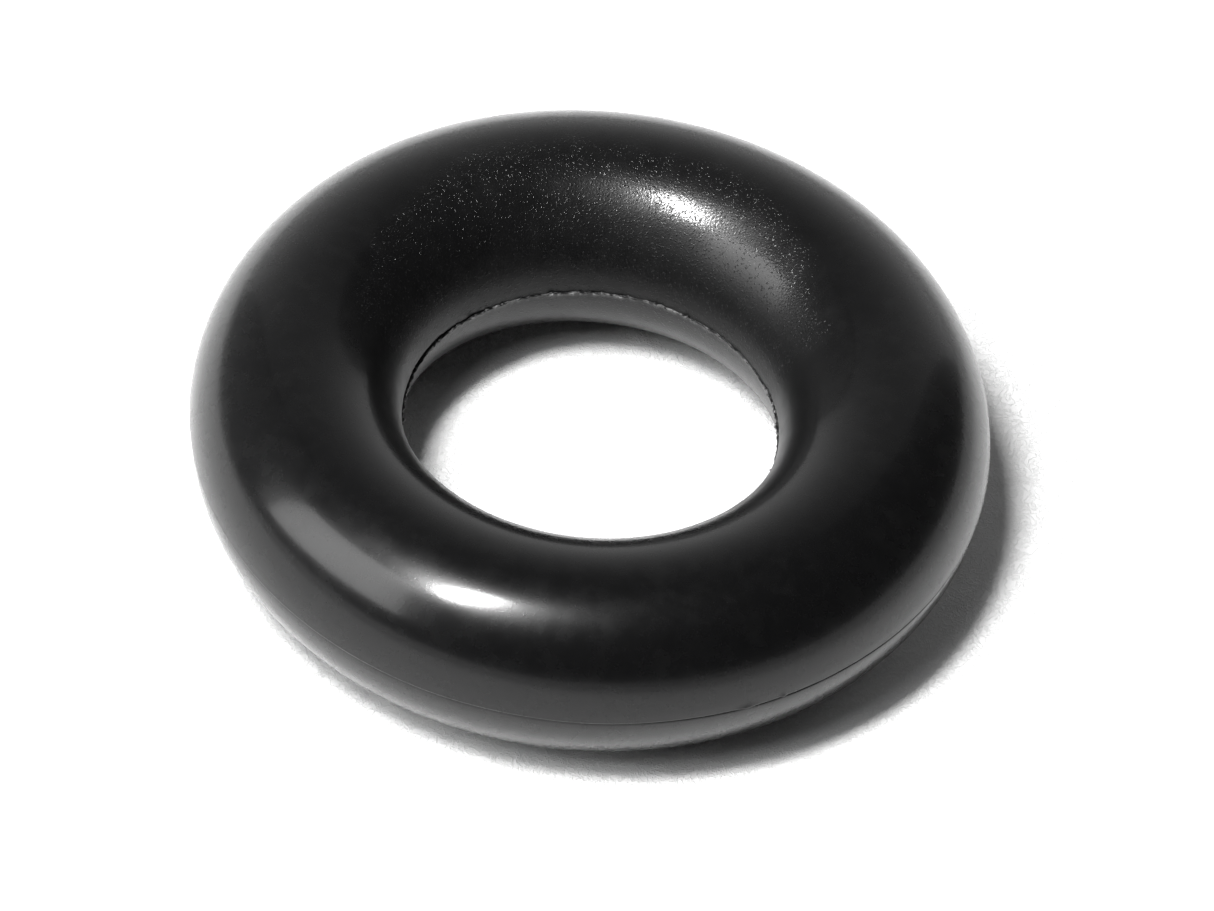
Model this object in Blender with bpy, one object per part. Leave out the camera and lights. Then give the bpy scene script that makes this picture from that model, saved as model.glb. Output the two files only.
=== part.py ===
"""Ring insulator for an electric fence: one solid moulded ring, at its real size.

Units are metres and +Z is up. The ring lies flat, and the origin is on its axis, in the plane
that it rests on. The fence wire or its tie passes through the eye, along Z.

The ring is moulded in one piece, between two mould halves that meet at mid-height. Outside,
the parting line is left as a thin fin. In the bore, where the flash was pared off, it is left as
a shallow notch above a small ledge.
"""
import math

import bmesh
import bpy
from mathutils import Matrix, Vector

# Driving dimensions
OUTER_DIAMETER = 0.0540
EYE_DIAMETER = 0.0254

# Parting line, left by the two mould halves at mid-height
FIN_HEIGHT = 0.00020
FIN_WIDTH = 0.00036
NOTCH_DEPTH = 0.00012
NOTCH_WIDTH = 0.00045

# Facets
SECTION_FLATS = 32  # a multiple of 4, so that flats lie at the top, bottom, outside and bore
STEPS_AROUND = 96
SHARP_ANGLE = math.radians(35)

# Worked out from the dimensions above
OUTER_WALL = OUTER_DIAMETER / 2
BORE_WALL = EYE_DIAMETER / 2
SECTION_RADIUS = (OUTER_WALL - BORE_WALL) / 2
CENTRE_RADIUS = (OUTER_WALL + BORE_WALL) / 2

# Moulded plastic
BLACK = (0.012, 0.012, 0.013, 1.0)
ROUGHNESS = 0.18


def clear_scene():
    """Remove whatever the file opened with."""
    for obj in list(bpy.data.objects):
        bpy.data.objects.remove(obj, do_unlink=True)


def glossy_plastic():
    """Black plastic, glossy from the mould."""
    material = bpy.data.materials.new("black_plastic")
    material.use_nodes = True
    shader = material.node_tree.nodes["Principled BSDF"]
    shader.inputs["Base Color"].default_value = BLACK
    shader.inputs["Roughness"].default_value = ROUGHNESS
    shader.inputs["Metallic"].default_value = 0.0
    return material


def half_section(first_flat):
    """Corners of one half of the round section, from one wall to the other, as (x, z) points.

    The flats touch the section's circle, so the ring is equally thick across any pair of them.
    """
    corner_radius = SECTION_RADIUS / math.cos(math.pi / SECTION_FLATS)
    angles = [
        math.tau * (first_flat + i + 0.5) / SECTION_FLATS for i in range(SECTION_FLATS // 2)
    ]
    return [
        (CENTRE_RADIUS + corner_radius * math.cos(a), corner_radius * math.sin(a))
        for a in angles
    ]


def bore_notch():
    """Pared flash in the bore, from the upper half down: a notch whose floor is a flat ledge."""
    return [(BORE_WALL, NOTCH_WIDTH), (BORE_WALL + NOTCH_DEPTH, 0.0), (BORE_WALL, 0.0)]


def outer_fin():
    """Flash line round the outside, from the lower half up: a low fin with a narrow crest."""
    crest = OUTER_WALL + FIN_HEIGHT
    foot = FIN_WIDTH / 2
    edge = FIN_WIDTH / 6
    return [(OUTER_WALL, -foot), (crest, -edge), (crest, edge), (OUTER_WALL, foot)]


def ring_profile():
    """The whole section as one closed outline, from the outer wall over the top and back."""
    upper = half_section(first_flat=0)
    lower = half_section(first_flat=SECTION_FLATS // 2)
    return upper + bore_notch() + lower + outer_fin()


def turn_profile(profile):
    """Spin a closed outline round Z into a closed mesh."""
    ring_mesh = bmesh.new()
    corners = [ring_mesh.verts.new((x, 0.0, z)) for x, z in profile]
    edges = [ring_mesh.edges.new(pair) for pair in zip(corners, corners[1:] + corners[:1])]
    bmesh.ops.spin(
        ring_mesh,
        geom=corners + edges,
        cent=Vector(),
        axis=Vector((0.0, 0.0, 1.0)),
        angle=math.tau,
        steps=STEPS_AROUND,
        space=Matrix.Identity(4),
        use_merge=True,
    )
    bmesh.ops.recalc_face_normals(ring_mesh, faces=ring_mesh.faces)
    return ring_mesh


def make_ring():
    """The insulator: one solid piece, resting on the flat at the bottom of its section."""
    mesh = bpy.data.meshes.new("ring")
    ring_mesh = turn_profile(ring_profile())
    ring_mesh.to_mesh(mesh)
    ring_mesh.free()
    mesh.shade_smooth()
    mesh.set_sharp_from_angle(angle=SHARP_ANGLE)
    mesh.materials.append(glossy_plastic())
    ring = bpy.data.objects.new("ring", mesh)
    ring.location.z = SECTION_RADIUS
    bpy.context.scene.collection.objects.link(ring)


clear_scene()
make_ring()
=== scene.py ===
import math

import bmesh
import bpy
import numpy as np
from mathutils import Matrix, Vector


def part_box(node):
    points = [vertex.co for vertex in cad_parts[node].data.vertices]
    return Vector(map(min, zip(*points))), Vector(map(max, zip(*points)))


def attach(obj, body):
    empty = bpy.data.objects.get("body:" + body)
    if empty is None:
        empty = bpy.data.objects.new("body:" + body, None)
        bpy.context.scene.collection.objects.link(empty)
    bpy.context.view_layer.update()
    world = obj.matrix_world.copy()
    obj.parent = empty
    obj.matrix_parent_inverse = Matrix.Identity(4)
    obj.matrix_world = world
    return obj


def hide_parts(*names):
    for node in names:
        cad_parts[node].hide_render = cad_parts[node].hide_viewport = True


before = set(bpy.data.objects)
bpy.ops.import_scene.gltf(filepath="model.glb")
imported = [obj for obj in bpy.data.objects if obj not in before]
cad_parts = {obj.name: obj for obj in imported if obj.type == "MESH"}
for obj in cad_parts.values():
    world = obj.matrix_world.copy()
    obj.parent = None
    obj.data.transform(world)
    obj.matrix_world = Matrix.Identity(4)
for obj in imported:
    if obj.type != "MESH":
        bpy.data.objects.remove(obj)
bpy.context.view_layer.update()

# Looks of a moulded black ring insulator that lies on white paper. Units are metres, +Z is up.
# "Around" is the angle about the ring's axis, from +X towards +Y. A place on the ring is such an
# angle in degrees. "Across" is the angle round the section, from the outer wall over the top to
# the bore. An azimuth is clockwise from +Y, seen from above, in degrees.

MM = 0.001

# The ring's sizes, from the frame
CAD_FIN_HEIGHT = 0.20 * MM
RING_LOW, RING_HIGH = (Vector(corner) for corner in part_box("ring"))
SECTION_RADIUS = (RING_HIGH.z - RING_LOW.z) / 2
CENTRE_RADIUS = (RING_HIGH.x - RING_LOW.x) / 2 - CAD_FIN_HEIGHT - SECTION_RADIUS
BORE_WALL = CENTRE_RADIUS - SECTION_RADIUS
CENTRE = Vector((0.0, 0.0, RING_LOW.z + SECTION_RADIUS))

# Mesh
STEPS_AROUND = 1200
SMOOTH_ROWS = 28  # on each half, between the two seams
SEAM_REACH = 0.75 * MM  # the seams' own rows lie within this distance of the mid-plane

# Mould
LOWER_INWARD = 0.05 * MM  # the lower half's circle is this much smaller: a small step all round
WAVINESS = 0.02 * MM

# Outer seam: a low bead on the upper half's edge, with a groove under it
BEAD_HEIGHT = 0.006 * MM
BEAD_UNEVEN = 0.003 * MM
BEAD_LOWEST, BEAD_HIGHEST = 0.001 * MM, 0.05 * MM
BEAD_SWELLS = ((232, 38, 0.012 * MM),)  # place, width in degrees, height
BEAD_CRUMBS = ((297, 1.2, 0.10 * MM), (302.8, 0.35, 0.10 * MM))
GROOVE_DEPTH = 0.006 * MM
GROOVE_UNEVEN = 0.006 * MM
GROOVE_DEEPEST = 0.13 * MM
GROOVE_SWELLS = ((325, 52, 0.11 * MM),)
OUTER_SEAM_STRAYS = 0.03 * MM  # up and down

# Height from the seam in mm, shares of the bead and of the groove, and share of LOWER_INWARD
OUTER_SEAM = (
    (-0.55, 0.00, 0.00, 1.0),
    (-0.30, 0.00, 0.00, 1.0),
    (-0.20, 0.00, 0.10, 1.0),
    (-0.13, 0.00, 0.70, 1.0),
    (-0.08, 0.00, 1.00, 1.0),
    (-0.04, 0.05, 0.85, 0.7),
    (0.0, 0.60, 0.15, 0.2),
    (0.035, 1.00, 0.00, 0.0),
    (0.08, 1.00, 0.00, 0.0),
    (0.16, 0.60, 0.00, 0.0),
    (0.28, 0.25, 0.00, 0.0),
    (0.50, 0.00, 0.00, 0.0),
)

# Bore seam: a crevice above a ragged ledge, torn wider at both ends of the part that shows
TORN_PLACES = ((158, 22, 1.0), (8, 14, 0.8))  # place, width in degrees, how far
CREVICE_DEPTH = -0.01 * MM  # below 0, so that it closes where the noise is low
CREVICE_UNEVEN = 0.02 * MM
CREVICE_TORN_DEPTH = 0.19 * MM
CREVICE_DEEPEST = 0.22 * MM
GAP_HEIGHT = 0.05 * MM
GAP_UNEVEN = 0.03 * MM
GAP_TORN_HEIGHT = 0.20 * MM
GAP_LOWEST, GAP_HIGHEST = 0.02 * MM, 0.30 * MM
LIP = 0.02 * MM
LIP_SMALL_CRUMBS, LIP_LARGE_CRUMBS = 0.09 * MM, 0.20 * MM
LEDGE_STRAYS = 0.02 * MM
LEDGE_CRUMBS = 0.12 * MM

# Heights in mm of the plain rows above and below the bore seam
ABOVE_BORE_SEAM = (0.70, 0.62)
BELOW_BORE_SEAM = (-0.42, -0.62)

# Height from the ledge as a share of the gap plus mm, shares of the crevice's depth and of the
# lip, and share of LOWER_INWARD
BORE_SEAM = (
    (1.0, 0.12, 0.05, 0.0, 0.0),
    (1.0, 0.05, 0.25, 0.0, 0.0),
    (1.0, 0.0, 0.70, 0.0, 0.0),
    (0.6, 0.0, 1.00, 0.0, 0.0),
    (0.2, 0.0, 1.00, 0.0, 0.0),
    (0.0, 0.015, 0.0, 0.2, 0.5),
    (0.0, 0.0, 0.0, 0.8, 1.0),
    (0.0, -0.05, 0.0, 1.0, 1.0),
    (0.0, -0.12, 0.0, 0.7, 1.0),
    (0.0, -0.22, 0.0, 0.1, 1.0),
)

# Plastic
BLACK = (0.0020, 0.0020, 0.0021, 1.0)
BLACK_MOTTLE = (0.0034, 0.0034, 0.0036, 1.0)
BLACK_HAZE = (0.007, 0.007, 0.007, 1.0)
DUST_GREY = (0.10, 0.10, 0.10, 1.0)
TORN_GREY = (0.10, 0.10, 0.10, 1.0)
PLASTIC_IOR = 1.40
GRAINED_AZIMUTH = 355  # the middle of the grained part of the bore side
GRAINED_WOBBLE = 1.2 * MM  # how far the edge of the grained part wanders, each way
GRAINED_DRAWN_IN = 3.5 * MM  # how far that edge draws in towards the bore, away from the back
GRAIN_SIZE, GRAIN_HEIGHT = 0.15 * MM, 0.011 * MM
NIB_SIZE, NIB_HEIGHT = 0.17 * MM, 0.017 * MM
PEEL_SIZE, PEEL_HEIGHT = 2.5 * MM, 0.004 * MM
SPECK_SPACING, SPECK_RADIUS = 0.9 * MM, 0.12 * MM
SPECK_SHARE = 0.40  # of the places that could have one
POWDER_SIZE = 0.13 * MM
MOTTLE_SIZE, HAZE_SIZE, PATCH_SIZE = 1.6 * MM, 1.5 * MM, 0.7 * MM
HAZE_AMOUNT, DUST_AMOUNT = 0.3, 0.09

# Paper
PAPER = (0.90, 0.90, 0.90, 1.0)
PAPER_FIBRE = (1.0, 1.0, 1.0, 1.0)
# Painted light on the paper: a pool of painted light on the left, with painted shade that darkens the
# paper and then turns it grey away from it
PAINTED_SHADE_GREY = (0.44, 0.44, 0.44, 1.0)
PAINTED_SHADE_BLACK = (0.0, 0.0, 0.0, 1.0)
PAINTED_LIGHT_POOL_CENTRE = (-0.10, 0.0, 0.0)  # the middle of a painted pool of light: the paper is white near here, and painted shade makes it fall off to grey
FIBRE_SPACING, FIBRE_HEIGHT = 0.5 * MM, 0.035 * MM
FIBRE_BEND = 1.2 * MM
FLOOR_RINGS = (0.4, 1.5, 3.4)  # radii
FLOOR_STEPS = 96

# Room
ROOM_BRIGHTNESS = 0.035
FRONT_AZIMUTH, LEFT_AZIMUTH = 202, 270
BAND_LOWEST, BAND_HIGHEST = -0.01, 0.102  # top of the pale band, as the sine of its elevation

# Camera
CAMERA_HEIGHT = math.radians(46.55)
CAMERA_ROLL = math.radians(5.7)
CAMERA_DISTANCE = 100 * CENTRE_RADIUS
CAMERA_AIM = Vector((0.0665, -0.1163, 0.0)) * CENTRE_RADIUS
SENSOR_WIDTH = 36.0
CENTRE_RADIUS_IN_FRAME = 0.2430  # of the frame's width


# ---------------------------------------------------------------- noise round the ring

def wander(around, seed, slowest, fastest):
    """Noise that closes on itself round the ring, about -1 to 1, in slowest to fastest waves."""
    random = np.random.default_rng(seed)
    total = np.zeros_like(around)
    for waves in range(slowest, fastest + 1):
        phase, weight = random.uniform(0, math.tau), random.uniform(0.4, 1.0)
        total += weight * np.cos(waves * around + phase)
    return total / (1.5 * np.sqrt((fastest - slowest + 1) / 2))


def near(around, place, width):
    """A soft bump: 1 at the place, and next to nothing beyond twice the width, in degrees."""
    turn = np.angle(np.exp(1j * (around - math.radians(place))))
    return np.exp(-((turn / math.radians(width)) ** 2))


def swells(around, places):
    """The sum of soft bumps, each given as a place, a width and a height."""
    return sum(height * near(around, place, width) for place, width, height in places)


def crumbs(around, seed, count, narrow, wide):
    """Ragged bits at random places, 0 to 1 high and narrow to wide degrees across."""
    random = np.random.default_rng(seed)
    total = np.zeros_like(around)
    for _ in range(count):
        place, width = random.uniform(0, 360), random.uniform(narrow, wide)
        total = np.maximum(total, random.uniform(0.2, 1.0) * near(around, place, width))
    return total


# ---------------------------------------------------------------- the ring

def outer_seam_rows(around):
    """The seam outside, from the lower half up: rows of height, proud and lower.

    Height is from the mid-plane, proud is out from the plain circle of the section, and lower is
    the share of the lower half's step inwards.
    """
    bead = BEAD_HEIGHT + BEAD_UNEVEN * wander(around, seed=12, slowest=12, fastest=70)
    bead = np.clip(bead + swells(around, BEAD_SWELLS), BEAD_LOWEST, BEAD_HIGHEST)
    bead += swells(around, BEAD_CRUMBS)
    groove = GROOVE_DEPTH + GROOVE_UNEVEN * wander(around, seed=13, slowest=6, fastest=60)
    groove = np.clip(groove + swells(around, GROOVE_SWELLS), 0.0, GROOVE_DEEPEST)
    middle = OUTER_SEAM_STRAYS * wander(around, seed=14, slowest=2, fastest=16)
    return [
        (middle + height * MM, up * bead - down * groove, lower)
        for height, up, down, lower in OUTER_SEAM
    ]


def bore_seam_rows(around):
    """The pared flash in the bore, from the upper half down: rows of height, proud and lower."""
    torn = swells(around, TORN_PLACES)
    depth = CREVICE_DEPTH + CREVICE_UNEVEN * wander(around, seed=22, slowest=3, fastest=40)
    depth = np.clip(depth + CREVICE_TORN_DEPTH * torn, 0.0, CREVICE_DEEPEST)
    gap = GAP_HEIGHT + GAP_UNEVEN * wander(around, seed=23, slowest=8, fastest=60)
    gap = np.clip(gap + GAP_TORN_HEIGHT * torn, GAP_LOWEST, GAP_HIGHEST)
    lip = LIP + LIP_SMALL_CRUMBS * crumbs(around, seed=25, count=260, narrow=0.2, wide=0.7)
    lip += LIP_LARGE_CRUMBS * crumbs(around, seed=26, count=50, narrow=0.4, wide=1.1)
    ledge = LEDGE_STRAYS * wander(around, seed=24, slowest=12, fastest=90)
    ledge += LEDGE_CRUMBS * crumbs(around, seed=28, count=160, narrow=0.25, wide=0.9)
    seam = [
        (ledge + share * gap + height * MM, out * lip - down * depth, lower)
        for share, height, down, out, lower in BORE_SEAM
    ]
    above = [(height * MM, 0.0, 0.0) for height in ABOVE_BORE_SEAM]
    below = [(height * MM, 0.0, 1.0) for height in BELOW_BORE_SEAM]
    return above + seam + below


def section_rows(around):
    """All rows across the section, from the outer seam over the top: across, proud and lower."""
    reach = SEAM_REACH / SECTION_RADIUS
    upper = np.linspace(reach, math.pi - reach, SMOOTH_ROWS)
    rows = []
    for height, proud, lower in outer_seam_rows(around):
        rows.append((np.arcsin(height / SECTION_RADIUS), proud, lower))
    for across in upper:
        rows.append((across, 0.0, 0.0))
    for height, proud, lower in bore_seam_rows(around):
        rows.append((math.pi - np.arcsin(height / SECTION_RADIUS), proud, lower))
    for across in upper + math.pi:
        rows.append((across, 0.0, 1.0))
    return rows


def ring_grid():
    """Points of the whole ring, as rows across by steps around by 3."""
    around = np.linspace(0, math.tau, STEPS_AROUND, endpoint=False)
    rows = section_rows(around)
    points = np.empty((len(rows), STEPS_AROUND, 3))
    for i, (across, proud, lower) in enumerate(rows):
        wave = WAVINESS * wander(around, seed=31, slowest=2, fastest=6) * np.sin(across)
        radius = SECTION_RADIUS + proud + wave
        out = CENTRE_RADIUS + radius * np.cos(across) - lower * LOWER_INWARD
        points[i, :, 0] = out * np.cos(around)
        points[i, :, 1] = out * np.sin(around)
        points[i, :, 2] = CENTRE.z + radius * np.sin(across)
    return points


def add_object(name, mesh, material):
    """Puts a mesh of one material into the scene."""
    mesh.materials.append(material)
    obj = bpy.data.objects.new(name, mesh)
    bpy.context.scene.collection.objects.link(obj)
    return obj


def make_ring(material):
    """The moulded ring, one closed mesh, in place of the plain CAD ring."""
    points = ring_grid()
    rows, steps, _ = points.shape
    row, step = np.meshgrid(np.arange(rows), np.arange(steps), indexing="ij")
    next_row, next_step = (row + 1) % rows, (step + 1) % steps
    corners = [
        row * steps + step,
        row * steps + next_step,
        next_row * steps + next_step,
        next_row * steps + step,
    ]
    faces = np.stack(corners, axis=-1).reshape(-1, 4)
    mesh = bpy.data.meshes.new("moulded_ring")
    mesh.from_pydata(points.reshape(-1, 3).tolist(), [], faces.tolist())
    mesh.shade_smooth()
    return add_object("moulded_ring", mesh, material)


# ---------------------------------------------------------------- materials

# Sockets of the Mix node for numbers and for colours: factor, first, second and result
MIX_SOCKETS = {"FLOAT": (0, 2, 3, 0), "RGBA": (0, 6, 7, 2)}


class Nodes:
    """Adds nodes to the tree of a material or a world."""

    def __init__(self, owner):
        owner.use_nodes = True
        self.tree = owner.node_tree

    def add(self, kind, **settings):
        """A node of that kind, with those settings."""
        return self.set(self.tree.nodes.new(kind), **settings)

    def set(self, node, **settings):
        """Sets a node's properties, or feeds its inputs by name, with _ for a space."""
        for key, value in settings.items():
            if hasattr(node, key):
                setattr(node, key, value)
            else:
                self.feed(node.inputs[key.replace("_", " ")], value)
        return node

    def feed(self, socket, value):
        """Links an output to a socket, or sets the socket's own value."""
        if isinstance(value, bpy.types.NodeSocket):
            self.tree.links.new(value, socket)
        else:
            socket.default_value = value

    def feed_all(self, node, *values):
        """Feeds a node's first inputs in order."""
        for socket, value in zip(node.inputs, values):
            self.feed(socket, value)
        return node

    def math(self, operation, *values):
        """Maths on numbers."""
        return self.feed_all(self.add("ShaderNodeMath", operation=operation), *values).outputs[0]

    def product(self, *values):
        """All the values, multiplied."""
        result = values[0]
        for value in values[1:]:
            result = self.math("MULTIPLY", result, value)
        return result

    def vector(self, operation, *values):
        """Maths on vectors. The result is a number for a length, a distance or a dot product."""
        node = self.feed_all(self.add("ShaderNodeVectorMath", operation=operation), *values)
        is_number = operation in ("LENGTH", "DISTANCE", "DOT_PRODUCT")
        return node.outputs["Value" if is_number else "Vector"]

    def ramp(self, value, low, high, to_low=0.0, to_high=1.0):
        """Maps low..high smoothly to to_low..to_high."""
        node = self.add("ShaderNodeMapRange", interpolation_type="SMOOTHSTEP")
        return self.feed_all(node, value, low, high, to_low, to_high).outputs[0]

    def mix(self, amount, first, second, kind="RGBA"):
        """Mixes two colours (RGBA) or two numbers (FLOAT)."""
        node = self.add("ShaderNodeMix", data_type=kind)
        *inputs, result = MIX_SOCKETS[kind]
        for index, value in zip(inputs, (amount, first, second)):
            self.feed(node.inputs[index], value)
        return node.outputs[result]

    def noise(self, place, size, detail, roughness=0.5, output="Fac"):
        """Noise with features of that size, in metres, at that place."""
        node = self.add("ShaderNodeTexNoise", Scale=1.0 / size, Detail=detail, Roughness=roughness)
        self.feed(node.inputs["Vector"], place)
        return node.outputs[output]

    def specks(self, place, spacing, radius, share):
        """Round specks on a loose grid: about 1 at a speck's middle, 0 elsewhere."""
        cells = self.add("ShaderNodeTexVoronoi", Scale=1.0 / spacing, Vector=place)
        draw = self.add("ShaderNodeSeparateColor", Color=cells.outputs["Color"])
        chosen = self.math("LESS_THAN", draw.outputs[0], share)
        reach = self.product(self.ramp(draw.outputs[1], 0.0, 1.0, 0.45, 1.0), radius / spacing)
        spot = self.math("SUBTRACT", 1.0, self.math("DIVIDE", cells.outputs["Distance"], reach))
        return self.product(self.ramp(spot, 0.0, 0.5), chosen)

    def bump(self, height):
        """A normal that is bent by a height in metres."""
        return self.add("ShaderNodeBump", Strength=1.0, Distance=1.0, Height=height).outputs["Normal"]


def plastic_zones(n, place):
    """Where the plastic is grained, dull and torn, each from 0 to 1."""
    split = n.add("ShaderNodeSeparateXYZ", Vector=place)
    flat = n.add("ShaderNodeCombineXYZ", X=split.outputs["X"], Y=split.outputs["Y"]).outputs[0]
    from_axis = n.vector("LENGTH", flat)
    above_seam = n.math("SUBTRACT", split.outputs["Z"], CENTRE.z)

    # Grained: inside a wandering line, which runs near the crest at the back and draws in towards
    # the bore on both sides
    wobble = n.ramp(n.noise(place, 4 * MM, 3.0), 0.0, 1.0, -GRAINED_WOBBLE, GRAINED_WOBBLE)
    backwards = n.vector("DOT_PRODUCT", n.vector("NORMALIZE", flat), towards(GRAINED_AZIMUTH, 0))
    drawn_in = n.ramp(backwards, 0.3, 1.0, GRAINED_DRAWN_IN, 0.0)
    line = n.math("ADD", n.math("ADD", from_axis, wobble), drawn_in)
    inside = n.ramp(line, CENTRE_RADIUS - 1.0 * MM, CENTRE_RADIUS + 1.5 * MM, 1.0, 0.0)
    grained = n.product(inside, n.ramp(backwards, 0.16, 0.28, 0.25, 1.0))

    # Dull: the bore wall, a little less below the seam
    wall = n.ramp(from_axis, BORE_WALL + 1.0 * MM, BORE_WALL + 3.4 * MM, 1.0, 0.0)
    dull = n.product(wall, n.ramp(above_seam, -0.2 * MM, 0.1 * MM, 0.68, 1.0))

    # Torn: the crumbs that stand proud of the bore wall, and patches along its seam
    crumb = n.ramp(from_axis, BORE_WALL - 0.20 * MM, BORE_WALL - 0.10 * MM, 1.0, 0.0)
    along_seam = n.ramp(n.math("ABSOLUTE", above_seam), 0.06 * MM, 0.14 * MM, 1.0, 0.0)
    proud = n.ramp(from_axis, BORE_WALL - 0.03 * MM, BORE_WALL + 0.01 * MM, 1.0, 0.0)
    patches = n.ramp(n.noise(place, PATCH_SIZE, 3.0, 0.6), 0.48, 0.62)
    torn = n.math("MAXIMUM", crumb, n.product(along_seam, wall, proud, patches))
    return grained, dull, torn


def plastic_dust(n, place, grained):
    """Loose specks and finer dust, nearly all of it where the plastic is grained."""
    specks = n.specks(place, SPECK_SPACING, SPECK_RADIUS, SPECK_SHARE)
    coarse = n.product(specks, n.ramp(grained, 0.0, 1.0, 0.08, 1.0))
    powder = n.ramp(n.noise(place, POWDER_SIZE, 1.0), 0.68, 0.80)
    fine = n.product(powder, n.ramp(grained, 0.0, 1.0, 0.03, 1.0))
    return n.math("MAXIMUM", coarse, fine)


def plastic_height(n, place, grained):
    """The fine relief: grain and nibs where it is grained, and a slight orange peel all over."""
    grain = n.product(n.noise(place, GRAIN_SIZE, 1.0), GRAIN_HEIGHT)
    nibs = n.product(n.ramp(n.noise(place, NIB_SIZE, 1.0), 0.60, 0.74), NIB_HEIGHT)
    grit = n.product(n.math("ADD", grain, nibs), n.ramp(grained, 0.0, 1.0, 0.06, 1.0))
    peel = n.product(n.noise(place, PEEL_SIZE, 1.0), PEEL_HEIGHT)
    return n.math("ADD", grit, peel)


def black_plastic():
    """Glossy black plastic: smooth outside, finely grained towards the bore, with some dust."""
    material = bpy.data.materials.new("black_plastic")
    n = Nodes(material)
    shader = n.tree.nodes["Principled BSDF"]
    place = n.add("ShaderNodeTexCoord").outputs["Object"]
    grained, dull, torn = plastic_zones(n, place)
    dust = plastic_dust(n, place, grained)
    mottle = n.noise(place, MOTTLE_SIZE, 4.0, 0.6)
    haze = n.product(n.ramp(n.noise(place, HAZE_SIZE, 3.0, 0.6), 0.45, 0.80), HAZE_AMOUNT)

    colour = n.mix(mottle, BLACK, BLACK_MOTTLE)
    colour = n.mix(haze, colour, BLACK_HAZE)
    colour = n.mix(n.product(dust, DUST_AMOUNT), colour, DUST_GREY)
    colour = n.mix(torn, colour, TORN_GREY)

    smooth = n.math("ADD", n.ramp(mottle, 0.3, 0.7, 0.25, 0.285), n.product(haze, 0.06))
    rough = n.mix(grained, smooth, n.ramp(mottle, 0.3, 0.7, 0.29, 0.34), kind="FLOAT")
    duller = n.math("ADD", n.product(dust, 0.05), n.product(dull, 0.14))
    rough = n.math("ADD", rough, duller)
    coat = n.product(n.ramp(grained, 0.0, 1.0, 0.40, 0.62), n.ramp(dull, 0.0, 1.0, 1.0, 0.12))

    normal = n.bump(plastic_height(n, place, grained))
    n.set(shader, Base_Color=colour, Roughness=rough, Metallic=0.0, IOR=PLASTIC_IOR)
    n.set(shader, Specular_IOR_Level=0.40, Normal=normal)
    n.set(shader, Coat_Weight=coat, Coat_Roughness=0.12, Coat_IOR=PLASTIC_IOR, Coat_Normal=normal)
    return material


def white_paper():
    """White paper with a faint fibre, and a painted pool of light: white near the ring, with painted
    shade that turns it grey far from it.
    """
    material = bpy.data.materials.new("white_paper")
    n = Nodes(material)
    place = n.add("ShaderNodeTexCoord").outputs["Object"]

    # Fibres: thin lines along the middle level of a noise that is bent by another
    bend = n.noise(place, 1.6 * MM, 2.0, output="Color")
    moved = n.vector("MULTIPLY_ADD", bend, (FIBRE_BEND, FIBRE_BEND, 0.0), place)
    level = n.math("SUBTRACT", n.noise(moved, FIBRE_SPACING, 3.0, 0.6), 0.5)
    fibre = n.ramp(n.math("ABSOLUTE", level), 0.0, 0.05, 1.0, 0.0)
    clouded = n.product(fibre, n.ramp(n.noise(place, 6 * MM, 3.0), 0.30, 0.55, 0.25, 1.0))

    from_painted_pool = n.vector("DISTANCE", place, PAINTED_LIGHT_POOL_CENTRE)
    colour = n.mix(clouded, PAPER, PAPER_FIBRE)
    # Painted shade in place of a lamp's falloff: the paper darkens a little, then turns grey, away
    # from the middle of the painted pool of light
    colour = n.mix(n.ramp(from_painted_pool, 0.08, 0.16, 1.0, 0.87), PAINTED_SHADE_BLACK, colour)
    colour = n.mix(n.ramp(from_painted_pool, 0.142, 0.18), colour, PAINTED_SHADE_GREY)
    normal = n.bump(n.product(fibre, FIBRE_HEIGHT))
    n.set(n.tree.nodes["Principled BSDF"], Base_Color=colour, Roughness=0.9, Normal=normal)
    n.set(n.tree.nodes["Principled BSDF"], Specular_IOR_Level=0.2)
    return material


# ---------------------------------------------------------------- floor, room and lights

def make_floor(material):
    """A flat round sheet of paper, wide enough to fill every view."""
    floor = bmesh.new()
    centre = floor.verts.new((0, 0, 0))
    turns = [math.tau * step / FLOOR_STEPS for step in range(FLOOR_STEPS)]
    rings = [
        [floor.verts.new((radius * math.cos(turn), radius * math.sin(turn), 0)) for turn in turns]
        for radius in FLOOR_RINGS
    ]
    for step in range(FLOOR_STEPS):
        after = (step + 1) % FLOOR_STEPS
        floor.faces.new((centre, rings[0][step], rings[0][after]))
        for inner, outer in zip(rings, rings[1:]):
            floor.faces.new((inner[step], outer[step], outer[after], inner[after]))
    mesh = bpy.data.meshes.new("floor")
    floor.to_mesh(mesh)
    floor.free()
    return add_object("floor", mesh, material)


def towards(azimuth, elevation):
    """Unit vector to a place in the sky, from its azimuth and its elevation in degrees."""
    a, e = math.radians(azimuth), math.radians(elevation)
    return Vector((math.sin(a) * math.cos(e), math.cos(a) * math.cos(e), math.sin(e)))


def panel(name, azimuth, elevation, distance, size, brightness, shape="ELLIPSE", roll=0, glossy=True):
    """A soft lamp that faces the ring. size is its width and height in degrees, from the ring."""
    light = bpy.data.lights.new(name, "AREA")
    light.shape = shape
    light.size, light.size_y = (2 * distance * math.tan(math.radians(side) / 2) for side in size)
    area = light.size * light.size_y * (math.pi / 4 if shape == "ELLIPSE" else 1.0)
    light.energy = brightness * math.pi * area
    lamp = bpy.data.objects.new(name, light)
    direction = towards(azimuth, elevation)
    lamp.location = CENTRE + distance * direction
    turn = direction.to_track_quat("Z", "Y").to_matrix() @ Matrix.Rotation(math.radians(roll), 3, "Z")
    lamp.rotation_euler = turn.to_euler()
    lamp.visible_glossy = glossy
    bpy.context.scene.collection.objects.link(lamp)


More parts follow.
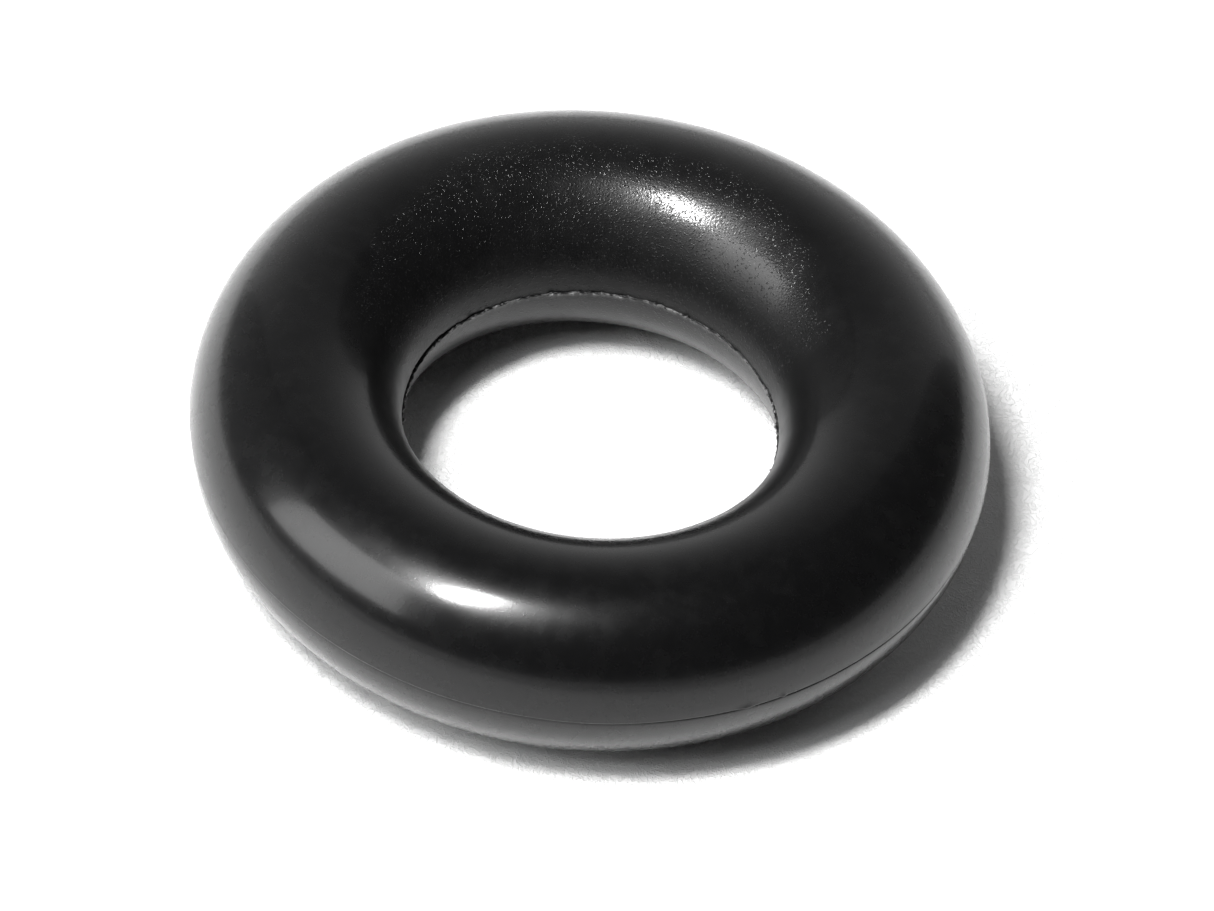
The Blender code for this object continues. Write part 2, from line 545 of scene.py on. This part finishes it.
def glow(name, corners, distance, low, high):
    """A glowing panel that faces the ring, from brightness low at its foot to high at its top.

    corners are (azimuth, elevation), the two low ones first.
    """
    rays = [towards(*corner) for corner in corners]
    facing = sum(rays, Vector()).normalized()
    points = [CENTRE + ray * distance / ray.dot(facing) for ray in rays]
    mesh = bpy.data.meshes.new(name)
    mesh.from_pydata(points, [], [(0, 1, 2, 3)])
    material = bpy.data.materials.new(name)
    n = Nodes(material)
    n.tree.nodes.remove(n.tree.nodes["Principled BSDF"])
    place = n.add("ShaderNodeTexCoord").outputs["Generated"]
    height = n.add("ShaderNodeSeparateXYZ", Vector=place).outputs["Z"]
    light = n.add("ShaderNodeEmission", Strength=n.ramp(height, 0.0, 1.0, low, high))
    n.feed(n.tree.nodes["Material Output"].inputs["Surface"], light.outputs[0])
    obj = add_object(name, mesh, material)
    obj.visible_camera = False


def make_room():
    """The room beyond the lights: dark, with a pale band low down, in front and on the left."""
    world = bpy.data.worlds.new("room")
    n = Nodes(world)
    view = n.add("ShaderNodeTexCoord").outputs["Generated"]
    up = n.add("ShaderNodeSeparateXYZ", Vector=view).outputs["Z"]
    in_front = n.vector("DOT_PRODUCT", view, towards(FRONT_AZIMUTH, 0))
    on_left = n.vector("DOT_PRODUCT", view, towards(LEFT_AZIMUTH, 0))
    band_top = n.ramp(in_front, -0.05, 0.70, BAND_LOWEST, BAND_HIGHEST)
    band = n.ramp(n.math("SUBTRACT", up, band_top), -0.02, 0.012, 1.0, 0.0)
    band = n.product(band, n.ramp(on_left, -1.0, 1.0, 0.3, 1.2))
    background = n.tree.nodes["Background"]
    n.set(background, Color=(1.0, 1.0, 1.0, 1.0), Strength=n.math("ADD", ROOM_BRIGHTNESS, band))
    bpy.context.scene.world = world


def make_lights():
    """A strong lamp high on the left with a wide glow round it, a window under it, a weak fill
    from the right rear, and dim walls behind and on the left.
    """
    panel("key", 231, 67.6, 2.0, size=(10, 21.5), brightness=88.0, roll=9)
    panel("key_surround", 231, 59, 2.1, size=(32, 32), brightness=4.8, glossy=False)
    panel("fill", 60, 40, 2.1, size=(30, 30), brightness=0.75, shape="RECTANGLE", glossy=False)
    glow("window", ((226, 22), (270, 12), (276, 44), (236, 56)), distance=1.2, low=5.7, high=6.1)
    glow("back", ((322, -1), (38, -1), (26, 62), (326, 62)), distance=2.4, low=0.85, high=0.08)
    glow("side", ((285, -1), (321, -1), (321, 52), (285, 52)), distance=2.4, low=0.28, high=0.15)


def make_camera():
    """A very long lens, high in front of the ring."""
    data = bpy.data.cameras.new("camera")
    data.sensor_width = SENSOR_WIDTH
    data.lens = CENTRE_RADIUS_IN_FRAME * SENSOR_WIDTH * CAMERA_DISTANCE / CENTRE_RADIUS
    data.clip_start = 0.1
    data.clip_end = 10.0
    camera = bpy.data.objects.new("camera", data)
    camera.location = CENTRE + CAMERA_DISTANCE * towards(180, math.degrees(CAMERA_HEIGHT))
    view = CENTRE + CAMERA_AIM - camera.location
    turn = view.to_track_quat("-Z", "Y").to_matrix() @ Matrix.Rotation(CAMERA_ROLL, 3, "Z")
    camera.rotation_euler = turn.to_euler()
    bpy.context.scene.collection.objects.link(camera)
    bpy.context.scene.camera = camera


make_camera()
make_room()
make_lights()
make_floor(white_paper())

ring = make_ring(black_plastic())
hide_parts("ring")
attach(ring, "root")

bpy.context.scene.view_settings.view_transform = "Standard"
